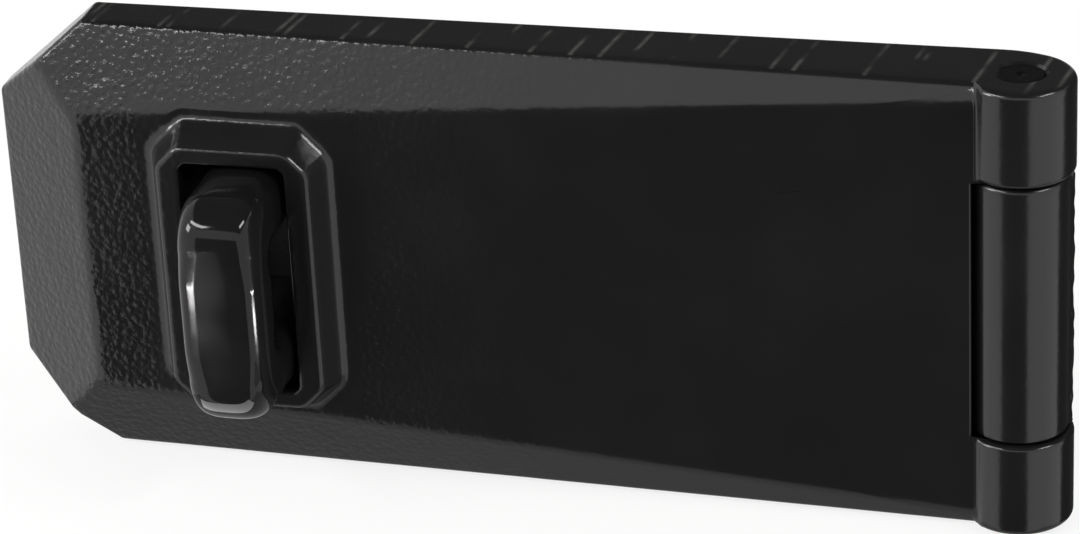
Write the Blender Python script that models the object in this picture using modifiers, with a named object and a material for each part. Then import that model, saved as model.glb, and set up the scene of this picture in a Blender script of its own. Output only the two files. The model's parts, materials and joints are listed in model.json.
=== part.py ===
"""Armoured hasp with a concealed fixing, closed over its staple.

The frame is the wall's: the mounting plane is y = 0, the front of the hasp looks along -Y, +Z is up and
+X runs towards the hinge. The origin lies on the mounting plane, behind the middle of the hinge plate's
wide part, between its four fixing holes.
Heights above the mounting plane are called depths here, so a depth d is the plane y = -d.
"""

import math

import bmesh
import bpy
from mathutils import Matrix, Vector

MM = 0.001

# Hinge
BARREL_RADIUS = 8.8 * MM
WALL_CLEARANCE = 0.5 * MM      # between the moving cover and the mounting plane
KNUCKLE_LENGTH = 44.6 * MM     # the fixed middle knuckle
KNUCKLE_GAP = 0.4 * MM         # between knuckle faces
KNUCKLE_CHAMFER = 0.7 * MM
KNUCKLE_STEP = 0.9 * MM        # the fixed knuckle is thinner than the cover's two by this
NOTCH_CLEARANCE = 1.15 * MM    # the cover's cut edge runs this far outside the fixed knuckle
PLATE_PAST_AXIS = 8.0 * MM     # the fixed plate reaches this far past the axis, under its knuckle
PLATE_LIP = 2.5 * MM           # and is this thick there, so that the open cover passes it
PIN_RADIUS = 3.6 * MM
PIN_PROUD = 0.5 * MM
PIN_CHAMFER = 0.5 * MM
PIN_CENTRE_RADIUS = 0.9 * MM   # turning centre in each end of the pin
FIT = 0.3 * MM                 # clearance between pieces that touch
SINK = 0.02 * MM               # how far a joined shape lies inside the face that it runs into
NEAR = 0.01 * MM               # two places closer than this count as one when edges are picked
MERGE = 0.002 * MM             # points closer than this become one
OVERLAP = 3.0 * MM             # how far one shape runs into another one that it is joined to
CLEAR = 4.5 * MM               # how far a cutter reaches past the face that it opens
SHARP_ANGLE = 35               # degrees, edges that turn by more are shaded sharp

# Cover
LENGTH = 180.0 * MM            # from the cover's free end to the outside of the barrel
WIDTH = 77.8 * MM
BARREL_RISE = 2.4 * MM         # the barrel stands this far in front of the flat field
FIELD_END = 16.5 * MM          # from the free end to the field
FACET_AT_HINGE = 2.6 * MM      # width of the side facets at the hinge axis
SIDE_SLOPE = 0.477             # fall of the side facets over their width
END_SLOPE = 0.633              # fall of the end facet
CORNER_CUT_LENGTH = 16.7 * MM  # the cut corners, along the cover
CORNER_CUT_WIDTH = 14.6 * MM   # and across it, which is the side facets' width at the field's end
COVER_WALL = 5.0 * MM
COVER_ROOF = 5.8 * MM
COVER_EDGE = 1.1 * MM          # rounding of the cast edges
POCKET_EDGE = 1.5 * MM
WEB = 6.65 * MM                # solid root between the pocket and the barrel
ROOT_FILLET = 2.0 * MM         # where the field runs into the barrel

# Raised boss round the slot
BOSS_FROM_END = 45.0 * MM      # from the free end to the middle of the boss
BOSS_LENGTH = 31.4 * MM
BOSS_WIDTH = 51.8 * MM
BOSS_RISE = 6.2 * MM
BOSS_CUT = 5.3 * MM            # cut corners of the boss at its foot
BOSS_DRAFT = 2.6 * MM          # the wall leans in by this
BOSS_FOOT = 1.3 * MM           # fillet at its foot
BOSS_RIM = 1.0 * MM            # rounding at its top
BOSS_CORNER = 0.22             # rounding of its upright corners, as a share of the cut corner
SLOT_LENGTH = 40.4 * MM        # across the cover
SLOT_WIDTH = 17.8 * MM         # along the cover
SLOT_CORNER = 1.7 * MM
SLOT_EDGE = 0.5 * MM

# Staple
STAPLE_WIDTH = 13.5 * MM       # along the cover
STAPLE_THICKNESS = 12.0 * MM   # thickness of the loop
STAPLE_PROUD = 16.2 * MM       # reach in front of the boss
STAPLE_SIDE_FIT = 0.5 * MM     # between the loop and each end of the slot
STAPLE_OFFSET = 1.3 * MM       # towards the hinge, so that the slot swings clear of the loop
STAPLE_BEND = 7.0 * MM         # outer corners of the loop
STAPLE_EYE_CORNER = 3.0 * MM
STAPLE_EDGE = 3.2 * MM         # rounding of the loop's long edges
TENON_INSET = 2.0 * MM         # shoulder round each riveted tenon

# Plates behind the cover
PLATE_THICKNESS = 4.5 * MM
PLATE_CORNER = 4.0 * MM
PLATE_EDGE = 0.4 * MM
HINGE_PLATE_LENGTH = 44.0 * MM
HINGE_PLATE_MARGIN = 2.9 * MM  # between its long sides and the cover's walls
PLATE_SWING = 0.6 * MM         # between the hinge plate's wide part and the swinging root
STAPLE_PLATE_LENGTH = 66.0 * MM
STAPLE_PLATE_MARGIN = 4.9 * MM
STAPLE_PLATE_CUT = 9.0 * MM
FIXING_HOLE_RADIUS = 4.3 * MM
FIXING_HOLE_SEAT_RADIUS = 7.2 * MM
FIXING_HOLE_SEAT_DEPTH = 1.2 * MM
FIXING_EDGE_DISTANCE = 10.5 * MM

# Worked out from the sizes above
AXIS_DEPTH = BARREL_RADIUS + WALL_CLEARANCE
FIELD_DEPTH = AXIS_DEPTH + BARREL_RADIUS - BARREL_RISE
FIELD_HALF_AT_END = WIDTH / 2 - CORNER_CUT_WIDTH
FIELD_HALF_AT_HINGE = WIDTH / 2 - FACET_AT_HINGE
POCKET_HALF = WIDTH / 2 - COVER_WALL
HINGE_PLATE_WIDTH = 2 * (POCKET_HALF - HINGE_PLATE_MARGIN)
STAPLE_PLATE_WIDTH = 2 * (POCKET_HALF - STAPLE_PLATE_MARGIN)
NOTCH_HALF = KNUCKLE_LENGTH / 2 + KNUCKLE_GAP
FIXED_RADIUS = BARREL_RADIUS - KNUCKLE_STEP
NOTCH_RADIUS = FIXED_RADIUS + NOTCH_CLEARANCE
BORE_RADIUS = PIN_RADIUS + FIT
ROOT_REACH = NOTCH_RADIUS + WEB
HINGE_PLATE_START = math.hypot(ROOT_REACH, AXIS_DEPTH - WALL_CLEARANCE) + PLATE_SWING
AXIS_X = HINGE_PLATE_START + HINGE_PLATE_LENGTH / 2
COVER_END_X = AXIS_X + BARREL_RADIUS - LENGTH
BOSS_X = COVER_END_X + BOSS_FROM_END
BOSS_DEPTH = FIELD_DEPTH + BOSS_RISE
STAPLE_X = BOSS_X + STAPLE_OFFSET
STAPLE_NOSE_DEPTH = BOSS_DEPTH + STAPLE_PROUD
STAPLE_HALF = SLOT_LENGTH / 2 - STAPLE_SIDE_FIT


def start_scene():
    """Remove what the scene holds and make a collection for the parts and one for the cutters."""
    for obj in list(bpy.data.objects):
        bpy.data.objects.remove(obj, do_unlink=True)
    collections = []
    for name in ("armoured_hasp", "cutters"):
        collection = bpy.data.collections.new(name)
        bpy.context.scene.collection.children.link(collection)
        collections.append(collection)
    return collections


def surface(name, colour, roughness, metallic):
    """A plain Principled material."""
    material = bpy.data.materials.new(name)
    material.use_nodes = True
    shader = material.node_tree.nodes["Principled BSDF"]
    shader.inputs["Base Color"].default_value = (*colour, 1.0)
    shader.inputs["Roughness"].default_value = roughness
    shader.inputs["Metallic"].default_value = metallic
    return material


def add_object(bm, name, collection):
    """Put a bmesh into a new object, with stray points merged and its faces pointing out."""
    bmesh.ops.remove_doubles(bm, verts=bm.verts[:], dist=MERGE)
    bmesh.ops.recalc_face_normals(bm, faces=bm.faces[:])
    if bm.calc_volume(signed=True) < 0.0:
        bmesh.ops.reverse_faces(bm, faces=bm.faces[:])
    mesh = bpy.data.meshes.new(name)
    bm.to_mesh(mesh)
    bm.free()
    obj = bpy.data.objects.new(name, mesh)
    collection.objects.link(obj)
    return obj


def box(low, high):
    """A bmesh box between two corners."""
    bm = bmesh.new()
    bmesh.ops.create_cube(bm, size=1.0)
    low, high = Vector(low), Vector(high)
    size = high - low
    bm.transform(Matrix.Translation((low + high) / 2) @ Matrix.Diagonal((*size, 1.0)))
    return bm


def cylinder(radius, start, end, segments=64):
    """A bmesh cylinder between two points."""
    start, end = Vector(start), Vector(end)
    axis = end - start
    bm = bmesh.new()
    bmesh.ops.create_cone(bm, cap_ends=True, segments=segments, radius1=radius, radius2=radius,
                          depth=axis.length)
    turn = axis.to_track_quat("Z", "Y").to_matrix().to_4x4()
    bm.transform(Matrix.Translation((start + end) / 2) @ turn)
    return bm


def extrude_outline(points, axis, low, high):
    """A bmesh prism: a flat outline carried along the axis "X", "Y" or "Z" from low to high."""
    bm = bmesh.new()
    if axis == "Z":
        verts = [bm.verts.new((u, v, low)) for u, v in points]
        step = Vector((0.0, 0.0, high - low))
    elif axis == "Y":
        verts = [bm.verts.new((u, low, v)) for u, v in points]
        step = Vector((0.0, high - low, 0.0))
    else:
        verts = [bm.verts.new((low, u, v)) for u, v in points]
        step = Vector((high - low, 0.0, 0.0))
    face = bm.faces.new(verts)
    grown = bmesh.ops.extrude_face_region(bm, geom=[face])
    moved = [item for item in grown["geom"] if isinstance(item, bmesh.types.BMVert)]
    bmesh.ops.translate(bm, verts=moved, vec=step)
    bmesh.ops.recalc_face_normals(bm, faces=bm.faces[:])
    return bm


def arc(centre, radius, start, end, steps):
    """Points along an arc, angles in degrees."""
    turns = [math.radians(start + (end - start) * i / steps) for i in range(steps + 1)]
    return [(centre[0] + radius * math.cos(t), centre[1] + radius * math.sin(t)) for t in turns]


def rounded_rectangle(centre, half_u, half_v, radius, steps=5):
    """Outline of a rectangle with round corners."""
    points = []
    corners = ((1, 1, 0), (-1, 1, 90), (-1, -1, 180), (1, -1, 270))
    for sign_u, sign_v, start in corners:
        middle = (centre[0] + sign_u * (half_u - radius), centre[1] + sign_v * (half_v - radius))
        points += arc(middle, radius, start, start + 90, steps)
    return points


def cut_with_plane(bm, point, normal):
    """Cut a closed convex bmesh with a plane, drop what lies on the normal's side and close the cut."""
    everything = bm.verts[:] + bm.edges[:] + bm.faces[:]
    result = bmesh.ops.bisect_plane(bm, geom=everything, plane_co=point, plane_no=normal, clear_outer=True)
    rim = [item for item in result["geom_cut"] if isinstance(item, bmesh.types.BMEdge)]
    if rim:
        bmesh.ops.edgeloop_fill(bm, edges=rim)


def round_edges(bm, width, segments, chosen):
    """Bevel the edges of a bmesh that the test picks."""
    edges = [edge for edge in bm.edges if len(edge.link_faces) == 2 and chosen(edge)]
    bmesh.ops.bevel(bm, geom=edges, offset=width, segments=segments, profile=0.5, affect="EDGES",
                    clamp_overlap=True)


def angle_over(edge, degrees):
    """True where an edge's two faces turn by more than an angle."""
    return edge.calc_face_angle(0.0) > math.radians(degrees)


def apply_boolean(target, cutter, operation, keep_in=None):
    """Apply one Boolean to the target. A cutter is hidden in its collection, a joined shape is removed."""
    modifier = target.modifiers.new(cutter.name, "BOOLEAN")
    modifier.operation = operation
    modifier.object = cutter
    modifier.solver = "EXACT"
    evaluated = target.evaluated_get(bpy.context.evaluated_depsgraph_get())
    mesh = bpy.data.meshes.new_from_object(evaluated)
    target.modifiers.remove(modifier)
    old = target.data
    mesh.name = old.name
    target.data = mesh
    bpy.data.meshes.remove(old)
    if keep_in is None:
        bpy.data.objects.remove(cutter, do_unlink=True)
    else:
        cutter.hide_render = True
        cutter.display_type = "WIRE"


def cut(target, bm, name, cutters):
    """Take the bmesh shape out of the target."""
    apply_boolean(target, add_object(bm, name, cutters), "DIFFERENCE", cutters)


def join(target, bm, collection):
    """Unite the bmesh shape with the target."""
    apply_boolean(target, add_object(bm, target.name + "_join", collection), "UNION")


def finish(obj, material):
    """Merge stray points, give the material and shade smooth up to sharp edges."""
    bm = bmesh.new()
    bm.from_mesh(obj.data)
    bmesh.ops.remove_doubles(bm, verts=bm.verts[:], dist=MERGE)
    bmesh.ops.dissolve_degenerate(bm, edges=bm.edges[:], dist=MERGE)
    bm.to_mesh(obj.data)
    bm.free()
    obj.data.materials.clear()
    obj.data.materials.append(material)
    obj.data.shade_smooth()
    obj.data.set_sharp_from_angle(angle=math.radians(SHARP_ANGLE))


def set_origin(obj, place):
    """Move an object's origin to a place without moving its shape."""
    obj.data.transform(Matrix.Translation(-Vector(place)))
    obj.location = place


def facet_planes(inset):
    """Planes of the cover's two side facets and its end facet, moved in by an inset."""
    planes = []
    run = Vector((AXIS_X - COVER_END_X - FIELD_END, FIELD_HALF_AT_HINGE - FIELD_HALF_AT_END))
    outward = Vector((-run.y, run.x)).normalized()
    for side in (1, -1):
        point = Vector((COVER_END_X + FIELD_END, -FIELD_DEPTH, side * FIELD_HALF_AT_END))
        normal = Vector((SIDE_SLOPE * outward.x, -1.0, side * SIDE_SLOPE * outward.y)).normalized()
        planes.append((point - normal * inset, normal))
    point = Vector((COVER_END_X + FIELD_END, -FIELD_DEPTH, 0.0))
    normal = Vector((-END_SLOPE, -1.0, 0.0)).normalized()
    planes.append((point - normal * inset, normal))
    return planes


def corner_planes(inset):
    """Upright planes of the cover's two cut corners, moved in by an inset."""
    planes = []
    for side in (1, -1):
        point = Vector((COVER_END_X, 0.0, side * (WIDTH / 2 - CORNER_CUT_WIDTH)))
        normal = Vector((-CORNER_CUT_WIDTH, 0.0, side * CORNER_CUT_LENGTH)).normalized()
        planes.append((point - normal * inset, normal))
    return planes


def hipped_block(wall, roof, back_depth, hinge_end):
    """The cover's outer form, or its pocket: a box cut by the corner planes and the facets."""
    low = (COVER_END_X + wall, -(FIELD_DEPTH - roof), -WIDTH / 2 + wall)
    high = (hinge_end, -back_depth, WIDTH / 2 - wall)
    bm = box(low, high)
    for point, normal in corner_planes(wall) + facet_planes(roof):
        cut_with_plane(bm, point, normal)
    return bm


def cover_body(parts):
    """The cast plate of the cover, with rounded outer edges. It ends inside the barrel."""
    hinge_end = AXIS_X - OVERLAP
    bm = hipped_block(0.0, 0.0, WALL_CLEARANCE, hinge_end)

    def outer(edge):
        middle = (edge.verts[0].co + edge.verts[1].co) / 2
        on_rim = middle.y > -WALL_CLEARANCE - NEAR
        at_hinge = middle.x > hinge_end - NEAR
        return not on_rim and not at_hinge and angle_over(edge, 10)

    round_edges(bm, COVER_EDGE, 3, outer)
    return add_object(bm, "cover", parts)


def cover_knuckle(low, high):
    """One of the cover's two knuckles, seen along the axis: the barrel turns from inside the plate round
    to the flat back."""
    left = AXIS_X - BARREL_RADIUS
    outline = arc((AXIS_X, -AXIS_DEPTH), BARREL_RADIUS, 180, 450, 48)
    outline.append((left, -WALL_CLEARANCE - SINK))
    bm = extrude_outline(outline, "Z", low, high)

    def ends(edge):
        flat = abs(edge.verts[0].co.z - edge.verts[1].co.z) < NEAR
        on_barrel = min(edge.verts[0].co.x, edge.verts[1].co.x) > left - NEAR
        at_back = max(edge.verts[0].co.y, edge.verts[1].co.y) > -WALL_CLEARANCE - 2 * SINK
        return flat and on_barrel and not at_back and angle_over(edge, 60)

    round_edges(bm, KNUCKLE_CHAMFER, 2, ends)
    return bm


def root_fillet(low, high):
    """The fillet in which the field runs into a knuckle. It ends where the side facet falls away."""
    rise = FIELD_DEPTH - AXIS_DEPTH - SINK
    fillet_y = rise + ROOT_FILLET
    fillet_x = -math.sqrt((BARREL_RADIUS - 2 * SINK + ROOT_FILLET) ** 2 - fillet_y ** 2)
    touch = math.degrees(math.atan2(fillet_y, -fillet_x))
    centre = (AXIS_X + fillet_x, -AXIS_DEPTH - fillet_y)
    inside = -(FIELD_DEPTH - ROOT_FILLET)
    outline = [(centre[0] - ROOT_FILLET, inside)] + arc(centre, ROOT_FILLET, 90, touch, 5)
    outline.append((AXIS_X - OVERLAP, inside))
    bm = extrude_outline(outline, "Z", low, high)
    for point, normal in facet_planes(SINK):
        cut_with_plane(bm, point, normal)
    return bm


def boss_ring(bm, inset, depth):
    """One ring of the boss: an octagon with slightly rounded corners."""
    half_x = BOSS_LENGTH / 2 - inset
    half_z = BOSS_WIDTH / 2 - inset
    corner = BOSS_CUT - inset * (2 - math.sqrt(2))
    short_x, short_z = half_x - corner, half_z - corner
    turns = (
        (half_x, short_z), (short_x, half_z), (-short_x, half_z), (-half_x, short_z),
        (-half_x, -short_z), (-short_x, -half_z), (short_x, -half_z), (half_x, -short_z),
    )
    softness = BOSS_CORNER * corner
    ring = []
    for index, (x, z) in enumerate(turns):
        here = Vector((x, z))
        before = (Vector(turns[index - 1]) - here).normalized() * softness
        after = (Vector(turns[(index + 1) % 8]) - here).normalized() * softness
        for point in (here + before, here + (before + after) / 4, here + after):
            ring.append(bm.verts.new((BOSS_X + point.x, -depth, point.y)))
    return ring


def boss():
    """The raised boss as a loft of octagons: a fillet at its foot, a leaning wall and a rounded rim."""
    wall_foot = FIELD_DEPTH + BOSS_FOOT
    wall_top = BOSS_DEPTH - BOSS_RIM
    stations = [(-BOSS_FOOT, FIELD_DEPTH - BOSS_RISE)]
    for u, v in arc((-BOSS_FOOT, wall_foot), BOSS_FOOT, 270, 360, 4):
        stations.append((u, v + SINK))
    for u, v in arc((BOSS_DRAFT + BOSS_RIM, wall_top), BOSS_RIM, 180, 90, 4):
        stations.append((u, v))
    bm = bmesh.new()
    rings = [boss_ring(bm, inset, depth) for inset, depth in stations]
    for lower, upper in zip(rings, rings[1:]):
        for i in range(len(lower)):
            j = (i + 1) % len(lower)
            bm.faces.new((lower[i], lower[j], upper[j], upper[i]))
    bm.faces.new(rings[0])
    bm.faces.new(rings[-1])
    return bm


def slot_cutter():
    """The slot through the boss, with a small chamfer at its mouth."""
    outline = rounded_rectangle((BOSS_X, 0.0), SLOT_WIDTH / 2, SLOT_LENGTH / 2, SLOT_CORNER)
    wide = rounded_rectangle((BOSS_X, 0.0), SLOT_WIDTH / 2 + SLOT_EDGE, SLOT_LENGTH / 2 + SLOT_EDGE,
                             SLOT_CORNER + SLOT_EDGE)
    bm = bmesh.new()
    levels = (
        (outline, 0.0), (outline, BOSS_DEPTH - SLOT_EDGE), (wide, BOSS_DEPTH), (wide, BOSS_DEPTH + BOSS_RISE),
    )
    rings = [[bm.verts.new((x, -depth, z)) for x, z in points] for points, depth in levels]
    for lower, upper in zip(rings, rings[1:]):
        for i in range(len(lower)):
            j = (i + 1) % len(lower)
            bm.faces.new((lower[i], lower[j], upper[j], upper[i]))
    bm.faces.new(rings[0])
    bm.faces.new(rings[-1])
    return bm


def notch_cutter():
    """Room for the fixed knuckle: a cylinder about the axis that opens towards the wall."""
    centre = (AXIS_X, -AXIS_DEPTH)
    outline = [(AXIS_X + NOTCH_RADIUS, WALL_CLEARANCE), (AXIS_X - NOTCH_RADIUS, WALL_CLEARANCE)]
    outline += arc(centre, NOTCH_RADIUS, 180, 360, 32)
    return extrude_outline(outline, "Z", -NOTCH_HALF, NOTCH_HALF)


def pocket_cutter():
    """The hollow behind the cover, with round corners."""
    bm = hipped_block(COVER_WALL, COVER_ROOF, -WALL_CLEARANCE, AXIS_X - ROOT_REACH)

    def upright(edge):
        along = (edge.verts[0].co - edge.verts[1].co).normalized()
        return abs(along.y) > 0.999 and angle_over(edge, 10)

    round_edges(bm, POCKET_EDGE, 3, upright)
    return bm


def neck_cutter():
    """The pocket's way through to the notch, for the neck of the hinge plate."""
    roof = FIELD_DEPTH - COVER_ROOF
    low = (AXIS_X - ROOT_REACH - OVERLAP, -roof, -NOTCH_HALF)
    high = (AXIS_X, WALL_CLEARANCE, NOTCH_HALF)
    return box(low, high)


def axis_bore():
    """The bore for the pin through every knuckle."""
    return cylinder(BORE_RADIUS, (AXIS_X, -AXIS_DEPTH, -WIDTH), (AXIS_X, -AXIS_DEPTH, WIDTH), 48)


def build_cover(parts, cutters, material):
    """The cover: plate, boss and two knuckles in one casting."""
    cover = cover_body(parts)
    inner, outer = NOTCH_HALF, WIDTH / 2 - SINK
    for low, high in ((inner, outer), (-outer, -inner)):
        join(cover, cover_knuckle(low, high), parts)
        join(cover, root_fillet(low, high), parts)
    join(cover, boss(), parts)
    cut(cover, notch_cutter(), "notch_cutter", cutters)
    cut(cover, pocket_cutter(), "pocket_cutter", cutters)
    cut(cover, neck_cutter(), "neck_cutter", cutters)
    cut(cover, slot_cutter(), "slot_cutter", cutters)
    cut(cover, axis_bore(), "cover_bore_cutter", cutters)
    finish(cover, material)
    set_origin(cover, (AXIS_X, -AXIS_DEPTH, 0.0))
    return cover


def drill_fixings(plate, places, cutters):
    """Drill the fixing holes of a plate, each with a shallow seat for a bolt head."""
    for index, (x, z) in enumerate(places):
        outside = -PLATE_THICKNESS - CLEAR
        hole = cylinder(FIXING_HOLE_RADIUS, (x, outside, z), (x, CLEAR, z), 32)
        cut(plate, hole, f"{plate.name}_hole_{index}", cutters)
        bottom = -(PLATE_THICKNESS - FIXING_HOLE_SEAT_DEPTH)
        seat = cylinder(FIXING_HOLE_SEAT_RADIUS, (x, outside, z), (x, bottom, z), 40)
        cut(plate, seat, f"{plate.name}_seat_{index}", cutters)


def build_hinge_plate(parts, cutters, material):
    """The fixed plate with the middle knuckle, cast in one piece. The knuckle stands on a neck that ends
    in a thin lip past the axis, and runs into the wide plate a hair inside both of its faces."""
    length = KNUCKLE_LENGTH / 2
    centre = (AXIS_X, -AXIS_DEPTH)
    neck_back, neck_front = SINK, PLATE_THICKNESS - SINK
    touch = math.degrees(math.asin((AXIS_DEPTH - neck_front) / FIXED_RADIUS))
    lip_touch = math.degrees(math.asin((AXIS_DEPTH - PLATE_LIP) / FIXED_RADIUS))
    neck_from = AXIS_X - HINGE_PLATE_START - PLATE_CORNER - OVERLAP
    lip_end = AXIS_X + PLATE_PAST_AXIS
    outline = [(neck_from, -neck_back), (lip_end, -neck_back), (lip_end, -PLATE_LIP)]
    outline += arc(centre, FIXED_RADIUS, lip_touch, -180 - touch, 44)
    outline += [(neck_from, -neck_front)]
    bm = extrude_outline(outline, "Z", -length, length)

    def knuckle_ends(edge):
        flat = abs(edge.verts[0].co.z - edge.verts[1].co.z) < NEAR
        above = (edge.verts[0].co.y + edge.verts[1].co.y) / 2 < -PLATE_LIP - NEAR
        right_of_plate = min(edge.verts[0].co.x, edge.verts[1].co.x) > AXIS_X - FIXED_RADIUS - NEAR
        return flat and above and right_of_plate and angle_over(edge, 60)

    round_edges(bm, KNUCKLE_CHAMFER, 2, knuckle_ends)
    plate = add_object(bm, "hinge_plate", parts)
    wide = rounded_rectangle((0.0, 0.0), HINGE_PLATE_LENGTH / 2, HINGE_PLATE_WIDTH / 2, PLATE_CORNER)
    bm = extrude_outline(wide, "Y", -PLATE_THICKNESS, 0.0)
    round_edges(bm, PLATE_EDGE, 1, lambda edge: angle_over(edge, 60))
    join(plate, bm, parts)
    cut(plate, axis_bore(), "plate_bore_cutter", cutters)
    reach_x = HINGE_PLATE_LENGTH / 2 - FIXING_EDGE_DISTANCE
    reach_z = HINGE_PLATE_WIDTH / 2 - FIXING_EDGE_DISTANCE
    places = [(sx * reach_x, sz * reach_z) for sx in (-1, 1) for sz in (-1, 1)]
    drill_fixings(plate, places, cutters)
    finish(plate, material)
    return plate


def build_pin(parts, material):
    """The hinge pin: a turned bar with chamfered ends and a turning centre in each."""
    half = WIDTH / 2 + PIN_PROUD
    upper = [
        (0.0, half - PIN_CENTRE_RADIUS), (PIN_CENTRE_RADIUS, half), (PIN_RADIUS - PIN_CHAMFER, half),
        (PIN_RADIUS, half - PIN_CHAMFER),
    ]
    profile = upper + [(x, -z) for x, z in reversed(upper)]
    mesh = bpy.data.meshes.new("hinge_pin")
    mesh.from_pydata([(x, 0.0, z) for x, z in profile], [(i, i + 1) for i in range(len(profile) - 1)], [])
    pin = bpy.data.objects.new("hinge_pin", mesh)
    parts.objects.link(pin)
    screw = pin.modifiers.new("turn", "SCREW")
    screw.axis = "Z"
    screw.steps = 48
    screw.render_steps = 48
    screw.use_merge_vertices = True
    screw.merge_threshold = MERGE
    evaluated = pin.evaluated_get(bpy.context.evaluated_depsgraph_get())
    turned = bpy.data.meshes.new_from_object(evaluated)
    pin.modifiers.clear()
    pin.data = turned
    bpy.data.meshes.remove(mesh)
    turned.name = "hinge_pin"
    finish(pin, material)
    pin.location = (AXIS_X, -AXIS_DEPTH, 0.0)
    return pin


def leg_places():
    """Height of each leg's middle line above and below the middle of the staple."""
    return [side * (STAPLE_HALF - STAPLE_THICKNESS / 2) for side in (1, -1)]


def build_staple_plate(parts, cutters, material):
    """The plate that carries the staple, with cut corners at its free end. It is drawn about its middle."""
    half_x, half_z, cut_off = STAPLE_PLATE_LENGTH / 2, STAPLE_PLATE_WIDTH / 2, STAPLE_PLATE_CUT
    outline = [
        (half_x, half_z - PLATE_CORNER), (half_x - PLATE_CORNER, half_z),
        (-half_x + cut_off, half_z), (-half_x, half_z - cut_off),
        (-half_x, -half_z + cut_off), (-half_x + cut_off, -half_z),
        (half_x - PLATE_CORNER, -half_z), (half_x, -half_z + PLATE_CORNER),
    ]
    bm = extrude_outline(outline, "Y", -PLATE_THICKNESS, 0.0)
    round_edges(bm, PLATE_EDGE, 1, lambda edge: angle_over(edge, 60))
    plate = add_object(bm, "staple_plate", parts)
    for index, height in enumerate(leg_places()):
        half_u = STAPLE_WIDTH / 2 - TENON_INSET + FIT
        half_v = STAPLE_THICKNESS / 2 - TENON_INSET + FIT
        hole = rounded_rectangle((0.0, height), half_u, half_v, TENON_INSET + FIT)
        bm = extrude_outline(hole, "Y", -PLATE_THICKNESS - CLEAR, CLEAR)
        cut(plate, bm, f"{plate.name}_tenon_{index}", cutters)
    reach_x = half_x - FIXING_EDGE_DISTANCE
    reach_z = half_z - FIXING_EDGE_DISTANCE
    places = [(sx * reach_x, sz * reach_z) for sx in (-1, 1) for sz in (-1, 1)]
    drill_fixings(plate, places, cutters)
    finish(plate, material)
    own_cutters = [cutter for cutter in cutters.objects if cutter.name.startswith(plate.name)]
    for piece in [plate] + own_cutters:
        piece.location = (STAPLE_X, 0.0, 0.0)
    return plate


def build_staple(parts, material):
    """The forged staple: a loop with rounded edges on two legs that end in riveted tenons."""
    nose, half = -STAPLE_NOSE_DEPTH, STAPLE_HALF
    foot = -(PLATE_THICKNESS + FIT)
    bend, eye = STAPLE_BEND, STAPLE_EYE_CORNER
    eye_nose, eye_half = nose + STAPLE_THICKNESS, half - STAPLE_THICKNESS
    outline = [(foot, half)]
    outline += arc((nose + bend, half - bend), bend, 90, 180, 8)
    outline += arc((nose + bend, -half + bend), bend, 180, 270, 8)
    outline += [(foot, -half), (foot, -eye_half)]
    outline += arc((eye_nose + eye, -eye_half + eye), eye, 270, 180, 6)
    outline += arc((eye_nose + eye, eye_half - eye), eye, 180, 90, 6)
    outline += [(foot, eye_half)]
    bm = extrude_outline(outline, "X", STAPLE_X - STAPLE_WIDTH / 2, STAPLE_X + STAPLE_WIDTH / 2)

    def long_edges(edge):
        flat = abs(edge.verts[0].co.x - edge.verts[1].co.x) < NEAR
        at_foot = min(edge.verts[0].co.y, edge.verts[1].co.y) > foot - NEAR
        return flat and not at_foot and angle_over(edge, 60)

    round_edges(bm, STAPLE_EDGE, 6, long_edges)
    staple = add_object(bm, "staple", parts)
    for height in leg_places():
        half_u = STAPLE_WIDTH / 2 - TENON_INSET
        half_v = STAPLE_THICKNESS / 2 - TENON_INSET
        tenon = rounded_rectangle((STAPLE_X, height), half_u, half_v, TENON_INSET)
        bm = extrude_outline(tenon, "Y", foot - PLATE_THICKNESS, -FIT)
        join(staple, bm, parts)
    finish(staple, material)
    return staple


def main():
    """Build the five pieces of the hasp."""
    parts, cutters = start_scene()
    paint = surface("black_enamel_on_cast_steel", (0.012, 0.012, 0.013), 0.38, 0.0)
    plate_paint = surface("black_enamel_on_plate", (0.016, 0.016, 0.017), 0.45, 0.0)
    polished = surface("black_nickel_on_forged_steel", (0.09, 0.09, 0.095), 0.12, 1.0)
    pin_steel = surface("blackened_pin_steel", (0.05, 0.05, 0.052), 0.35, 1.0)
    build_cover(parts, cutters, paint)
    build_hinge_plate(parts, cutters, plate_paint)
    build_pin(parts, pin_steel)
    build_staple_plate(parts, cutters, plate_paint)
    build_staple(parts, polished)


main()
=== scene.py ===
import json
import math

import bmesh
import bpy
import numpy as np
from mathutils import Matrix, Vector


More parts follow.
